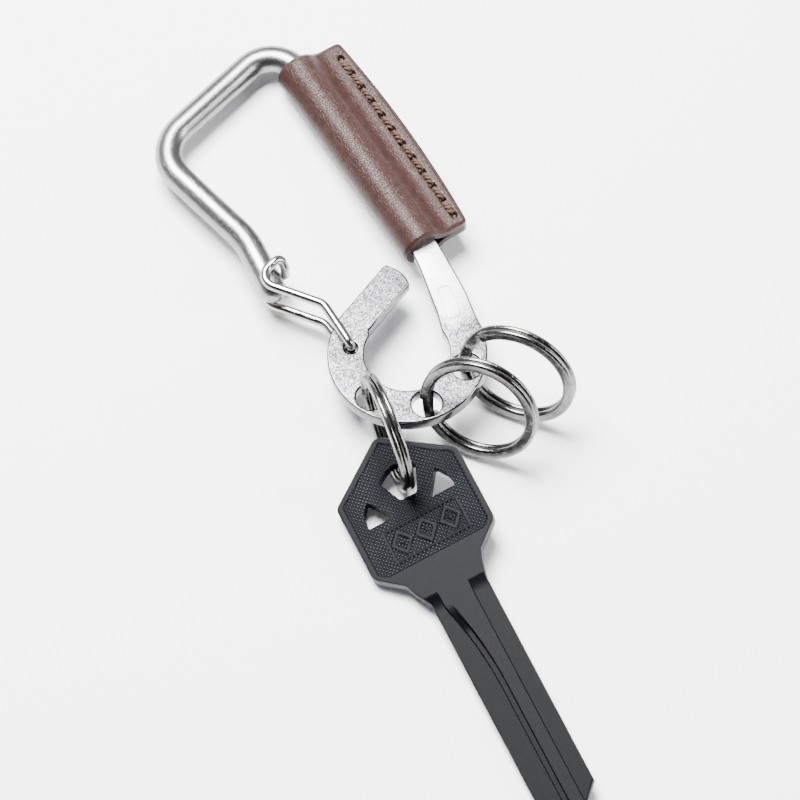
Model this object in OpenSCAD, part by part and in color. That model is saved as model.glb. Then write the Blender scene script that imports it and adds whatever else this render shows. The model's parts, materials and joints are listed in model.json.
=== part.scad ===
// Carabiner key holder with a leather grip, three split rings and a blank key.
// It lies on a table as in use: the origin is the centre of the hook's eye, +Y runs up the
// leather grip and +Z is up. The hook end rides on its rings, a little above the table.

/* [Pose] */
// Height of the hook eye's centre above the table
eye_height = 6.3; // [5.5:0.1:6.6]
// Slope of the carabiner, hook end up
carabiner_pitch = 3; // [2:0.1:4]

/* [Rod] */
// Diameter of the bent rod
rod_d = 4.2; // [3.9:0.1:4.3]
// Bend radius of the two large corners, to the rod's centre line
corner_bend = 5; // [4.5:0.1:6]
left_corner_bend = 6.5; // [5:0.1:7]
// Bend radius where the lower leg turns to the nose
nose_bend = 14; // [8:0.5:16]
// Distance of the grip side from the eye's centre
spine_x = 12; // [11.8:0.1:12.2]

/* [Hook plate] */
// Thickness of the flat hook
plate_t = 2.2; // [2:0.1:2.3]
// Outer radius of the hook
hook_r = 12; // [11.9:0.1:12.3]
// Radius of the eye
eye_r = 6.4; // [6.2:0.1:6.5]
// Radius of the circle that the ring holes lie on
hole_circle_r = 9.15; // [9.1:0.05:9.2]
// Radius of a ring hole
ring_hole_r = 2.25; // [2.2:0.05:2.3]
// Radius of the hole that the gate turns in
gate_hole_r = 1; // [0.95:0.05:1.1]

/* [Leather sleeve] */
// Thickness of the leather
leather_t = 1.4; // [1.3:0.1:1.5]
// Lower end of the sleeve
sleeve_y0 = 14.6; // [14:0.1:15]
// Upper end of the sleeve
sleeve_y1 = 52.1; // [51:0.1:52.1]
// Width of the sewn flange, from the rod's centre line to its widest point
flange_w = 8.4; // [8:0.1:9]
// Distance between two stitch holes
stitch_pitch = 2.95; // [2.8:0.05:3]

/* [Gate] */
// Diameter of the gate's wire
gate_wire_d = 1.4; // [1.2:0.1:1.4]
// Play between the gate's wire and the rod's nose
gate_play = 0.1; // [0.05:0.05:0.15]

/* [Split rings] */
// Outer radius of a split ring
ring_r = 9.2; // [9.1:0.05:9.3]
// Width of the flattened wire, across the ring
ring_wire_w = 1.75; // [1.7:0.05:1.8]
// Thickness of the flattened wire, along the ring's axis
ring_wire_t = 1; // [0.95:0.05:1.1]
// Angle over which the wire steps from one turn to the next
ring_step = 24; // [18:1:30]

/* [Key] */
// Thickness of the key
key_t = 2; // [1.8:0.1:2.1]
// Half of the bow's width
bow_half_w = 10.15; // [9.8:0.05:10.3]
// Half of the blade's width
blade_half_w = 4.6; // [4.4:0.1:4.8]
// Length of the key from the middle of its bow to its tip
key_reach = 61; // [56:0.5:62]

/* [Hidden] */
$fn = 48;
eps = 0.01;
bend_swell = 0.02;
bend_lap = 0.12;
rod_r = rod_d / 2;
steel = [0.72, 0.72, 0.70];
grey_steel = [0.45, 0.44, 0.43];

// The rod's corners, in the carabiner's own plane
rod_start_y = 20;
rod_path = [
    [spine_x, rod_start_y, 0],
    [spine_x, 57.9, 0],
    [-14.15, 50.8, 0],
    [-10, 30.2, 0],
    [-11.1, 20.8, 0]
];
rod_bends = [0, corner_bend, left_corner_bend, nose_bend, 0];

// The hook plate: hole angles run round the eye from the gate's hole
gate_hole = [-6.65, 5.3];
ring_hole_angles = [313.5, 257, 202.5];
arm_angle = 22;
arm_end = 10.4;
arm_inner = 6.95;
arm_start = 1.6;
arm_root = [-0.3, 5.9];
arm_round = [0.5, 2];
arm_taper = 0.06;
relief_foot = [-2, 5.5];
relief_top_x = -0.22;
relief_end = arm_end + 0.5;
strap_end = [spine_x - 2.2, spine_x + 2];
strap_corners = [
    [strap_end[0], rod_start_y], [9.75, 14], [7.4, 3.6], [5.9, -1.05], [9.2, -6],
    [11.77, -1.6], [13.1, 5], [13.9, 14], [strap_end[1], rod_start_y]
];
strap_rounds = [0, 30, 12, 0, 0, 0, 30, 30, 0];
arm_rounds = [0, 0, 4, 0.4, 0, 0];
hollow_play = 0.15;

// The sleeve
tube_r = rod_r + leather_t;
flange_bow = 0.9;
flange_root = [2.5, 2.3];
flange_neck = [3.4, 1.75];
flange_flat_x = 4.4;
bore_play = 0.1;
strap_room = 5.2;
strap_room_shift = 0.25;
sleeve_len = sleeve_y1 - sleeve_y0;
stitch_count = 12;
stitch_x = 6.3;
stitch_y0 = 16.7;
thread_r = 0.35;
thread_hole_r = 0.45;
stitch_gap = 0.3;
stitch_z = leather_t + thread_r;

// The gate: where each strand bends, up from its hole, for the strand above the rod
gate_wire_r = gate_wire_d / 2;
gate_rise = rod_r + gate_wire_r + gate_play;
gate_leave = plate_t / 2 + gate_wire_r + 0.25;
gate_foot = 0.15;
gate_path_up = [
    [gate_hole.x, gate_hole.y, gate_foot],
    [gate_hole.x, gate_hole.y, gate_leave],
    [-6.7, 13, gate_rise],
    [-13.3, 22.1, gate_rise],
    [-8, 23.45, gate_rise],
    [-7.85, 22.4, 1]
];
gate_bends = [0, 0.9, 2.5, 2.1, 1, 1, 1, 1, 2.1, 2.5, 0.9, 0];

// Rings: the heading of each ring's plane, its lean, its play in the hole towards the eye and
// sideways, its height above the table, and where the wire steps from turn to turn
ring_mid_r = ring_r - ring_wire_w / 2;
ring_heading = [-53.4, -53.1, -100.7];
ring_lean = [15, 20, -2.5];
ring_back_play = [0.15, 0.05, 0.55];
ring_side_play = [0.2, 0.5, 0];
ring_lift = [0.15, 0.4, 0.02];
ring_split_at = [162, 213, 177];

// The key lies over the table with its bow lifted by the third ring
key_at = [-10.87, -15.05, -2.7];
key_yaw = -5.7;
key_pitch = 1.7;
key_roll = 11.6;
neck_y = -21;
blade_y0 = -22.5;
cutter_r = 7;
// The bow stands a little to one side of the blade
bow_shift = -0.35;
bow_side = [
    [bow_half_w, -0.6], [bow_half_w, -13.4], [6.3, -16.7], [5.6, -18.6], [blade_half_w, neck_y]
];
bow_apex = [0, 6.9];
apex_round = 1.6;
bow_rounds = [1.5, 1.8, 1, 0.8, 0.8];
blade_root = 3;
ring_cutout = [[0, 2], [3, 0.1], [2.9, -0.6], [1.35, -4.1], [-1.35, -4.1], [-2.9, -0.6], [-3, 0.1]];
ring_cutout_rounds = [3, 0.3, 0.3, 0.6, 0.6, 0.3, 0.3];
side_cutout = [[5.75, -1.8], [7.1, -3.9], [7.2, -5.9], [3, -5.9]];
side_cutout_rounds = [0.3, 2.5, 0.3, 0.3];
blade_shoulder_y = -57;
tip_half_w = 1;
// Grooves across each face: where one starts, how wide and how deep it is
grooves = [[-blade_half_w - eps, 3.4, 0.55], [-1.35, 0.9, 0.9], [1.7, 3, 0.35]];

// Vectors
function unit(v) = v / norm(v);
function about_z(p, a) = [p.x * cos(a) - p.y * sin(a), p.x * sin(a) + p.y * cos(a), p.z];
function about_x(p, a) = [p.x, p.y * cos(a) - p.z * sin(a), p.y * sin(a) + p.z * cos(a)];
function mirror_z(p) = [p.x, p.y, -p.z];

// A matrix that takes X, Y and Z to three given directions, and the origin to a point
function place(x, y, z, at) = [
    [x.x, y.x, z.x, at.x],
    [x.y, y.y, z.y, at.y],
    [x.z, y.z, z.z, at.z],
    [0, 0, 0, 1]
];

// The points of a polygon whose corners are rounded, each with its own radius
function corner_points(a, b, c, r, steps) =
    let (
        u = unit(a - b),
        w = unit(c - b),
        half = acos(u * w) / 2,
        centre = b + unit(u + w) * r / sin(half),
        from = b + u * r / tan(half) - centre,
        turn = 180 - 2 * half,
        side = sign(u.x * w.y - u.y * w.x)
    )
    r == 0 ? [b] : [
        for (i = [0:steps])
            let (t = -side * turn * i / steps)
            centre + [from.x * cos(t) - from.y * sin(t), from.x * sin(t) + from.y * cos(t)]
    ];
function rounded(points, radii, steps = 6) = [
    for (i = [0:len(points) - 1])
        let (n = len(points))
        each corner_points(points[(i + n - 1) % n], points[i], points[(i + 1) % n], radii[i], steps)
];

// A round bar along a route, with a true bend at every inner corner. A bend is a hair thicker
// than the straights that run into it, so that the pieces always join cleanly.
function bend_cut(p, radii, i) =
    radii[i] == 0 ? 0 : radii[i] * tan(acos(unit(p[i] - p[i - 1]) * unit(p[i + 1] - p[i])) / 2);
module bent_bar(p, radii, r) {
    last = len(p) - 1;
    for (i = [0:last - 1]) {
        way = unit(p[i + 1] - p[i]);
        from = p[i] + way * max(0, bend_cut(p, radii, i) - bend_lap);
        to = p[i + 1] - way * max(0, bend_cut(p, radii, i + 1) - bend_lap);
        across = unit(cross(way, abs(way.z) > 0.9 ? [1, 0, 0] : [0, 0, 1]));
        multmatrix(place(across, cross(way, across), way, from)) cylinder(r = r, h = norm(to - from));
    }
    for (i = [1:last - 1]) {
        come = unit(p[i] - p[i - 1]);
        go = unit(p[i + 1] - p[i]);
        turn = acos(come * go);
        axis = unit(cross(come, go));
        out = unit(cross(come, axis));
        centre = p[i] - come * bend_cut(p, radii, i) - out * radii[i];
        multmatrix(place(out, cross(axis, out), axis, centre))
            rotate_extrude(angle = turn) translate([radii[i], 0]) circle(r = r + bend_swell);
    }
}

// Everything on the carabiner slopes with it
module on_carabiner() {
    rotate([-carabiner_pitch, 0, 0]) children();
}

module carabiner_rod() {
    last = len(rod_path) - 1;
    color(steel) on_carabiner() {
        bent_bar(rod_path, rod_bends, rod_r);
        translate(rod_path[last]) sphere(r = rod_r + bend_swell);
    }
}

// The hook's outline: an open ring, its arm, and the strap that runs up into the sleeve
module hook_outline() {
    arm_outer = hook_r - arm_taper;
    arm = rounded(
        [
            [arm_root.x, arm_root.y], [arm_end - 2 * arm_round.x, arm_root.y],
            [arm_end + arm_round.x, arm_inner + arm_round.y], [arm_end, arm_outer],
            [-arm_root.x, arm_outer], [arm_root.x, hook_r + 2 * arm_root.x]
        ],
        arm_rounds
    );
    arm_relief = [
        [relief_foot.x, relief_foot.y], [relief_top_x, arm_inner], [relief_end, arm_inner],
        [relief_end, relief_foot.y]
    ];
    difference() {
        union() {
            difference() {
                circle(r = hook_r, $fn = 96);
                rotate(arm_angle) translate([arm_start, 0]) square([2 * hook_r, 2 * hook_r]);
                square([2 * hook_r, 2 * hook_r]);
            }
            rotate(arm_angle) polygon(arm);
            polygon(rounded(strap_corners, strap_rounds));
        }
        rotate(arm_angle) polygon(arm_relief);
        circle(r = eye_r, $fn = 96);
    }
}

module hook_plate() {
    color(steel) on_carabiner() difference() {
        translate([0, 0, -plate_t / 2]) linear_extrude(plate_t) hook_outline();
        translate([gate_hole.x, gate_hole.y, -plate_t]) cylinder(r = gate_hole_r, h = 2 * plate_t);
        for (a = ring_hole_angles)
            rotate(a) translate([hole_circle_r, 0, -plate_t]) cylinder(r = ring_hole_r, h = 2 * plate_t);
    }
}

// The flange's section: its two layers run together from the sides of the tube
module flange_section() {
    polygon([
        [flange_root.x, flange_root.y], [flange_neck.x, flange_neck.y], [flange_flat_x, leather_t],
        [flange_w, leather_t], [flange_w, -leather_t], [flange_flat_x, -leather_t],
        [flange_neck.x, -flange_neck.y], [flange_root.x, -flange_root.y]
    ]);
}

// A prism or tube along the sleeve
module along_sleeve() {
    translate([spine_x, sleeve_y1, 0]) rotate([90, 0, 0]) children();
}

// The flange seen from above: its edge is a shallow arc
module sleeve_outline() {
    arc_r = (sleeve_len * sleeve_len / 4 + flange_bow * flange_bow) / (2 * flange_bow);
    mid_y = (sleeve_y0 + sleeve_y1) / 2;
    half = asin(sleeve_len / 2 / arc_r);
    polygon([
        [spine_x - tube_r - 1, sleeve_y1],
        [spine_x - tube_r - 1, sleeve_y0],
        for (i = [0:8])
            let (a = half * (i / 4 - 1))
            [spine_x + flange_w - arc_r + arc_r * cos(a), mid_y + arc_r * sin(a)]
    ]);
}

module leather_sleeve() {
    color([0.42, 0.24, 0.20]) on_carabiner() difference() {
        intersection() {
            union() {
                along_sleeve() cylinder(r = tube_r, h = sleeve_len);
                along_sleeve() linear_extrude(sleeve_len) flange_section();
            }
            translate([0, 0, -tube_r - 1]) linear_extrude(2 * tube_r + 2) sleeve_outline();
        }
        translate([0, 1, 0]) along_sleeve() cylinder(r = rod_r + bore_play, h = sleeve_len + 2);
        translate([spine_x - strap_room / 2 - strap_room_shift, sleeve_y0 - 1, -plate_t / 2 - hollow_play])
            cube([strap_room, rod_start_y - sleeve_y0 + 1, plate_t + 2 * hollow_play]);
        for (i = [0:stitch_count - 1])
            translate([spine_x + stitch_x, stitch_y0 + i * stitch_pitch, -tube_r])
                cylinder(r = thread_hole_r, h = 2 * tube_r, $fn = 24);
    }
}

// One stitch lies on each face between two holes, and the thread goes through every hole
module sewing_thread() {
    bar = stitch_pitch - stitch_gap;
    color([0.55, 0.40, 0.26]) on_carabiner() translate([spine_x + stitch_x, stitch_y0, 0]) {
        for (i = [0:stitch_count - 1])
            translate([0, i * stitch_pitch, -stitch_z]) cylinder(r = thread_r, h = 2 * stitch_z);
        for (i = [0:stitch_count - 2], side = [-1, 1])
            translate([0, i * stitch_pitch + stitch_gap / 2, side * stitch_z])
                rotate([-90, 0, 0]) cylinder(r = thread_r, h = bar);
    }
}

module wire_gate() {
    path_down = [for (i = [len(gate_path_up) - 1:-1:0]) mirror_z(gate_path_up[i])];
    color(steel) on_carabiner() bent_bar(concat(gate_path_up, path_down), gate_bends, gate_wire_r);
}

// One flat-sided turn of the ring's wire, between two angles
module ring_turn(from, to, z) {
    flat = ring_wire_w - ring_wire_t;
    rotate(from) rotate_extrude(angle = to - from) translate([ring_mid_r, z]) {
        square([flat, ring_wire_t], center = true);
        translate([-flat / 2, 0]) circle(d = ring_wire_t);
        translate([flat / 2, 0]) circle(d = ring_wire_t);
    }
}

// Where the ring stands: it passes through its hole, and its lowest point is on the table
function hole_point(i) =
    about_x(about_z([hole_circle_r, 0, 0], ring_hole_angles[i]), -carabiner_pitch);
function ring_normal(i) = about_z([0, -cos(ring_lean[i]), sin(ring_lean[i])], ring_heading[i]);
function ring_along(i) = about_z([1, 0, 0], ring_heading[i]);
function ring_up(i) = cross(ring_normal(i), ring_along(i)) * sign(cross(ring_normal(i), ring_along(i)).z);
function ring_centre_z(i) =
    ring_lift[i] - eye_height + ring_r * cos(ring_lean[i]) + ring_wire_t * abs(sin(ring_lean[i]));
function ring_rise(i) = asin((ring_centre_z(i) - hole_point(i).z) / (ring_mid_r * ring_up(i).z));
function ring_centre(i) =
    hole_point(i)
    + ring_along(i) * (ring_mid_r * cos(ring_rise(i)) - ring_back_play[i])
    + ring_up(i) * ring_mid_r * sin(ring_rise(i))
    + about_z([0, 1, 0], ring_heading[i]) * ring_side_play[i];

module split_ring(i) {
    along = ring_along(i);
    up = ring_up(i);
    color(grey_steel) multmatrix(place(along, up, cross(along, up), ring_centre(i)))
        rotate(ring_split_at[i]) {
            ring_turn(0, 360 - ring_step, ring_wire_t / 2);
            ring_turn(0, 360 - ring_step, -ring_wire_t / 2);
            ring_turn(360 - ring_step - eps, 360 + eps, 0);
        }
}
module ring_1() { split_ring(0); }
module ring_2() { split_ring(1); }
module ring_3() { split_ring(2); }

// The key in its own plane: +Y to the bow's apex, the blade along -Y
function flipped(points) = [for (i = [len(points) - 1:-1:0]) [-points[i].x, points[i].y]];
module bow_outline() {
    root = [[blade_half_w, neck_y - blade_root]];
    side_rounds = concat(bow_rounds, [0]);
    side = concat(bow_side, root);
    shifted = concat([bow_apex], side, flipped(side));
    polygon(rounded(
        [for (p = shifted) p.y > neck_y + eps ? [p.x + bow_shift, p.y] : p],
        concat([apex_round], side_rounds, [for (i = [len(side_rounds) - 1:-1:0]) side_rounds[i]])
    ));
}

module bow_cutouts() {
    polygon(rounded(ring_cutout, ring_cutout_rounds));
    for (side = [0, 1])
        translate([bow_shift, 0]) mirror([side, 0]) polygon(rounded(side_cutout, side_cutout_rounds));
}

module blade_outline() {
    side = [[blade_half_w, blade_y0], [blade_half_w, blade_shoulder_y], [tip_half_w, -key_reach]];
    polygon(concat(side, flipped(side)));
}

// A milled groove from the bow to the tip, with the cutter's round run-out at the bow
module groove(x, width, depth) {
    translate([x, 0, key_t / 2 - depth]) {
        translate([0, -key_reach - 1, 0]) cube([width, key_reach + 1 + blade_y0, key_t]);
        translate([0, blade_y0, cutter_r]) rotate([0, 90, 0]) cylinder(r = cutter_r, h = width);
    }
}

module key_blank() {
    color([0.12, 0.13, 0.15]) translate(key_at) rotate([0, 0, key_yaw]) rotate([key_pitch, 0, 0])
        rotate([0, -key_roll, 0]) difference() {
            translate([0, 0, -key_t / 2]) linear_extrude(key_t) difference() {
                union() {
                    bow_outline();
                    blade_outline();
                }
                bow_cutouts();
            }
            for (turn = [0, 180], g = grooves) rotate([0, turn, 0]) groove(g[0], g[1], g[2]);
        }
}

carabiner_rod();
hook_plate();
leather_sleeve();
sewing_thread();
wire_gate();
ring_1();
ring_2();
ring_3();
key_blank();
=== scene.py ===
import json
import math

import bmesh
import bpy
from mathutils import Matrix, Quaternion, Vector, noise


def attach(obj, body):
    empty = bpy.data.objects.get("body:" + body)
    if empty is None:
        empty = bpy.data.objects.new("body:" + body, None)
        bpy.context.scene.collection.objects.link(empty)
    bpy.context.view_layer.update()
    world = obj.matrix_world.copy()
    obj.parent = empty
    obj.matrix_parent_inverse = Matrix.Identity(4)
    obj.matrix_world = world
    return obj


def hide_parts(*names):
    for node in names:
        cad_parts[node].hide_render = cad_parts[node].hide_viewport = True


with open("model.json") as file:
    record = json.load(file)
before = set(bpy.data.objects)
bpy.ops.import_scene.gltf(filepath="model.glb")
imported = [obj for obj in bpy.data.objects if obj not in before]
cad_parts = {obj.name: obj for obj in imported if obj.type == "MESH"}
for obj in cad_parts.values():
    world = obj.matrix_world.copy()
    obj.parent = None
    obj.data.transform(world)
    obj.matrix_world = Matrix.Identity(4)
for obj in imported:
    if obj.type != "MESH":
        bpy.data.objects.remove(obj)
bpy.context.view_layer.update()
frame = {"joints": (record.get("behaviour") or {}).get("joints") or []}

# Sizes are in millimetres, in the part's own frame; MM takes them to metres.
MM = 0.001
TABLE_Z = -6.3

# Table top, camera and light. Directions are in the view's own axes: right, up, towards the eye.
# The table's half width and the nearest and farthest things seen are in metres.
TABLE_HALF = 3.0
VIEW_AZIMUTH = -31.4
VIEW_ELEVATION = 63
VIEW_CENTRE_ALONG = -1.12
VIEW_CENTRE_UP = -6.49
VIEW_WIDTH = 119.4
LENS = 400
SENSOR = 36
NEAREST_SEEN, FARTHEST_SEEN = 0.05, 20
DARK_SIDE = (0.15, -0.1, 1.0)
ROOM_TONES = [
    (0.0, (0.62, 0.64, 0.70)), (0.45, (0.55, 0.57, 0.62)),
    (0.72, (0.10, 0.10, 0.11)), (1.0, (0.03, 0.03, 0.035))
]
# Each soft box: name, direction, distance and size in metres, power in watts
SOFT_BOXES = [
    ("window_above", (-0.24, 0.74, 0.64), 0.6, (0.34, 0.34), 26.0),
    ("right_strip", (0.95, 0.10, 0.45), 0.7, (0.10, 0.5), 5.0)
]

# Carabiner: its slope on the table in degrees, and the rod's route in its own plane
PITCH = 3
ROD_R = 2.1
SPINE_X = 12.0
ROD_START_Y = 20.0
ROD_CORNERS = [(SPINE_X, ROD_START_Y), (SPINE_X, 57.9), (-14.15, 50.8), (-10.0, 30.2), (-11.1, 20.8)]
ROD_BENDS = [0, 5, 6.5, 14, 0]
ROD_GAP = 0.7

# Hook plate: angles run round the eye's centre, in degrees
PLATE_T = 2.2
HOOK_R = 12.0
EYE_R = 6.4
HOLE_CIRCLE_R = 9.15
RING_HOLE_R = 2.25
RING_HOLE_ANGLES = (313.5, 257, 202.5)
GATE_HOLE = (-6.65, 5.3)
GATE_HOLE_R = 1.0
ARM_ANGLE = 22
ARM_INNER = 6.95
ARM_OUTER = HOOK_R - 0.06
ARM_START = 3
ARM_END = 10.4
ARM_CORNERS = [
    (ARM_START, ARM_INNER), (ARM_END - 0.5, ARM_INNER), (ARM_END + 0.5, ARM_INNER + 2),
    (ARM_END, ARM_OUTER), (ARM_START, ARM_OUTER)
]
ARM_ROUNDS = [0, 0.35, 4, 0.5, 0]
ARM_ROOT_X = -0.22
ARM_MEETS_HOOK_X = 1.2
HOOK_END_ANGLE = 356
EYE_ANGLES = (2, -239)
STRAP_CORNERS = [
    (12.05, -0.2), (13.1, 5), (13.9, 14), (14, 20), (9.8, 20), (9.75, 14), (7.4, 3.6), (6.39, 0.42)
]
STRAP_ROUNDS = [0, 30, 30, 0, 0, 30, 12, 0]
PLATE_BEVEL = 0.28
FLAT_FACE = 0.995
# The polished strap begins between these places, in metres
POLISHED_X = (0.0072, 0.0084)
POLISHED_Y = (-0.0005, 0.0035)
FRAME_CORNERS = [(9.55, 7.1), (11.35, 6.8), (10.35, 1.3), (8.15, 1.65)]
FRAME_ROUND = 0.6
FRAME_LINE_HALF = 0.07
FRAME_LIFTS = (0.004, 0.012)

# Leather sleeve and its sewing
LEATHER_T = 1.4
LAYER_GAP = 0.04
SLEEVE_Y0 = 14.6
SLEEVE_Y1 = 52.1
FLANGE_W = 8.4
FLANGE_BOW = 0.9
CORNER_R = 0.7
FLANGE_FILLET = 3.6
FLAT_STEPS, FILLET_STEPS, WRAP_STEPS = 30, 10, 40
SLEEVE_ROWS = 230
CUT_SOFTEN, CUT_REACH = 0.28, 0.55
SEAM_FROM_X = 4
SEAM_DEPTH, SEAM_HALF = 0.1, 0.42
HOLE_DEPTH, HOLE_R, HOLE_WALL = 0.55, 0.45, 0.22
HIDE_WOBBLE = 0.018
STITCH_X = 6.3
STITCH_Y0 = 16.7
STITCH_PITCH = 2.95
STITCH_COUNT = 12
STITCH_START = 0.36
STITCH_STEPS = 44
STITCH_DIP, STITCH_RISE = 0.55, 0.7
BACK_STITCH = 0.2
PLY_R = 0.23
PLY_TURN = 1.3
PLY_SIDES = 10

# Gate: one half of the wire's route, mirrored for the other half
GATE_R = 0.7
GATE_RISE = ROD_R + GATE_R + 0.1
GATE_LEAVE = PLATE_T / 2 + GATE_R + 0.25
GATE_UP = [
    (*GATE_HOLE, 0.15), (*GATE_HOLE, GATE_LEAVE), (-6.7, 13, GATE_RISE),
    (-13.3, 22.1, GATE_RISE), (-8, 23.45, GATE_RISE), (-7.85, 22.4, 1)
]
GATE_BENDS = [0, 0.9, 2.5, 2.1, 1, 1, 1, 1, 2.1, 2.5, 0.9, 0]

# Split rings: outer radius, the wire's width and thickness, and the angle its step takes
RING_R = 9.2
RING_W = 1.75
RING_T = 1.0
COIL_FILL = 0.98
RING_STEP = 24
RING_HEADING = (-53.4, -53.1, -100.7)
RING_LEAN = (15, 20, -2.5)
RING_SPLIT = (162, 213, 177)
RING_STEPS = 300
RING_SECTION_STEPS = 12

# Key
KEY_AT = (-10.87, -15.05, -2.7)
KEY_YAW, KEY_PITCH, KEY_ROLL = -5.7, 1.7, 11.6
KEY_T = 2.0
BOW_SHIFT = -0.35
BOW_HALF = 10.15
KEY_EDGE = 0.2
NECK_Y = -21.0
BLADE_Y0 = -22.5
BLADE_HALF = 4.6
TIP_Y = -57
KEY_REACH = 61.0
APEX, APEX_ROUND = (0, 6.9), 1.6
KEY_SIDE = [
    (BOW_HALF, -0.6), (BOW_HALF, -13.4), (6.3, -16.7), (5.6, -18.6), (BLADE_HALF, NECK_Y),
    (BLADE_HALF, TIP_Y), (1, -KEY_REACH)
]
KEY_ROUNDS = [1.5, 1.8, 1, 0.8, 0.8, 0, 0]
RING_CUTOUT = [(0, 2), (3, 0.1), (2.9, -0.6), (1.35, -4.1), (-1.35, -4.1), (-2.9, -0.6), (-3, 0.1)]
RING_CUTOUT_ROUNDS = [3, 0.3, 0.3, 0.6, 0.6, 0.3, 0.3]
SIDE_CUTOUT = [(5.75, -1.8), (7.1, -3.9), (7.2, -5.9), (3, -5.9)]
SIDE_CUTOUT_ROUNDS = [0.3, 2.5, 0.3, 0.3]
KEY_COLUMNS = 200
BOW_ROWS = 200
FINE_ROW, BLADE_ROW = 0.25, 0.5
NECK_ROWS, BLADE_ROWS, TIP_ROWS = 8, 68, 17
BLADE_ROWS_FROM = -23.2
CUTTER_R = 7.0
SLOT_X = (-1.0, -0.1)
SLOT_DEPTH = 0.9
WIDE_DEPTH = 0.55
RIGHT_X = 1.9
RIGHT_DEPTH = 0.35
WALL = 0.12
SWEEP_LENGTH = 15.0
SWEEP_WIDTH = 1.9
SLOT_RUN_IN = 5
FIELD_END = -14.2
FIELD_WALL = 0.25
FIELD_DEPTH = 0.1
RIM = 0.85
PANEL_X = 6.3
PANEL_Y = (-12.9, -7.3)
PANEL_LINE = 0.4
LOZENGE_X = (-4.0, 0.0, 4.0)
LOZENGE_HALF = (1.9, 2.3)
LOZENGE_BAND = (0.58, 1.0)
LOZENGE_CORE = 0.2
KNURL_PITCH = 0.5


# ---------------------------------------------------------------- small helpers

def on_carabiner():
    """From the carabiner's own plane, in millimetres, to the part's frame in metres."""
    return Matrix.Rotation(math.radians(-PITCH), 4, "X") @ Matrix.Scale(MM, 4)


def smooth_step(t):
    """0 before 0, 1 after 1, and an even curve between them."""
    t = min(1.0, max(0.0, t))
    return t * t * (3 - 2 * t)


def piece(name, verts, faces, place, material, body, node):
    """A finished mesh piece that stands for a CAD node and rides on a body."""
    mesh = bpy.data.meshes.new(name)
    mesh.from_pydata([place @ Vector(v) for v in verts], [], faces)
    mesh.validate()
    return finish_piece(name, mesh, material, body, node)


def finish_piece(name, mesh, material, body, node):
    """Puts a mesh in the scene with its material or materials, body and CAD node."""
    obj = bpy.data.objects.new(name, mesh)
    bpy.context.scene.collection.objects.link(obj)
    for m in material if isinstance(material, list) else [material]:
        if m.name not in [x.name for x in mesh.materials if x]:
            mesh.materials.append(m)
    mesh.update()
    smooth_by_angle(mesh)
    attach(obj, body)
    if node:
        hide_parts(node)
    return obj


def smooth_by_angle(mesh, limit=38):
    """Soft shading, but a crisp line wherever two faces meet at more than the limit."""
    bm = bmesh.new()
    bm.from_mesh(mesh)
    bmesh.ops.recalc_face_normals(bm, faces=bm.faces)
    for f in bm.faces:
        f.smooth = True
    for e in bm.edges:
        if len(e.link_faces) == 2:
            e.smooth = e.calc_face_angle(0) < math.radians(limit)
    bm.to_mesh(mesh)
    bm.free()


def mark(mesh, name, values):
    """Stores one value for each vertex, for a material to read."""
    layer = mesh.attributes.new(name, "FLOAT", "POINT")
    layer.data.foreach_set("value", values)


def rounded_corners(corners, radii, steps=8):
    """The points of a closed outline whose corners are rounded, each with its own radius."""
    out = []
    n = len(corners)
    for i in range(n):
        b = Vector(corners[i])
        if not radii[i]:
            out.append(b)
            continue
        u = (Vector(corners[i - 1]) - b).normalized()
        w = (Vector(corners[(i + 1) % n]) - b).normalized()
        half = u.angle(w) / 2
        centre = b + (u + w).normalized() * radii[i] / math.sin(half)
        start = b + u * radii[i] / math.tan(half) - centre
        turn = -math.copysign(math.pi - 2 * half, u.x * w.y - u.y * w.x)
        for k in range(steps + 1):
            a = turn * k / steps
            out.append(centre + Vector((
                start.x * math.cos(a) - start.y * math.sin(a),
                start.x * math.sin(a) + start.y * math.cos(a))))
    return out


def bent_route(corners, radii, step=5):
    """A route in space with a true arc at every inner corner."""
    corners = [Vector(c) for c in corners]
    route = []
    for i, p in enumerate(corners):
        if not radii[i]:
            route.append(p)
            continue
        come = (p - corners[i - 1]).normalized()
        go = (corners[i + 1] - p).normalized()
        turn = come.angle(go)
        axis = come.cross(go).normalized()
        out = come.cross(axis)
        centre = p - come * radii[i] * math.tan(turn / 2) - out * radii[i]
        steps = max(4, round(math.degrees(turn) / step))
        for k in range(steps + 1):
            route.append(centre + Quaternion(axis, turn * k / steps) @ (out * radii[i]))
    return route


def spaced(route, gap):
    """The same route with no stretch longer than the gap."""
    out = [route[0]]
    for a, b in zip(route, route[1:]):
        n = max(1, math.ceil((b - a).length / gap))
        out += [a.lerp(b, k / n) for k in range(1, n + 1)]
    return out


def frames_along(route):
    """A direction and two crosswise vectors at every point, turning as little as they can."""
    ways = []
    for i in range(len(route)):
        a = route[max(0, i - 1)]
        b = route[min(len(route) - 1, i + 1)]
        ways.append((b - a).normalized())
    side = ways[0].orthogonal().normalized()
    out = []
    for i, way in enumerate(ways):
        if i:
            side = ways[i - 1].rotation_difference(way) @ side
        side = (side - way * side.dot(way)).normalized()
        out.append((way, side, way.cross(side)))
    return out


def tube_faces(rings, n):
    """The faces between rings of n vertices each, with the first and last ring closed."""
    faces = []
    for i in range(rings - 1):
        for j in range(n):
            k = (j + 1) % n
            faces.append((i * n + j, i * n + k, (i + 1) * n + k, (i + 1) * n + j))
    for start in (0, (rings - 1) * n):
        faces.append(tuple(range(start, start + n)))
    return faces


def swept(route, section, scale=None):
    """Verts and faces of a section, a list of (x, y), carried along a route, with closed ends."""
    verts = []
    for i, (p, (_, side, up)) in enumerate(zip(route, frames_along(route))):
        k = scale[i] if scale else 1
        verts += [p + side * x * k + up * y * k for x, y in section]
    return verts, tube_faces(len(route), len(section))


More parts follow.
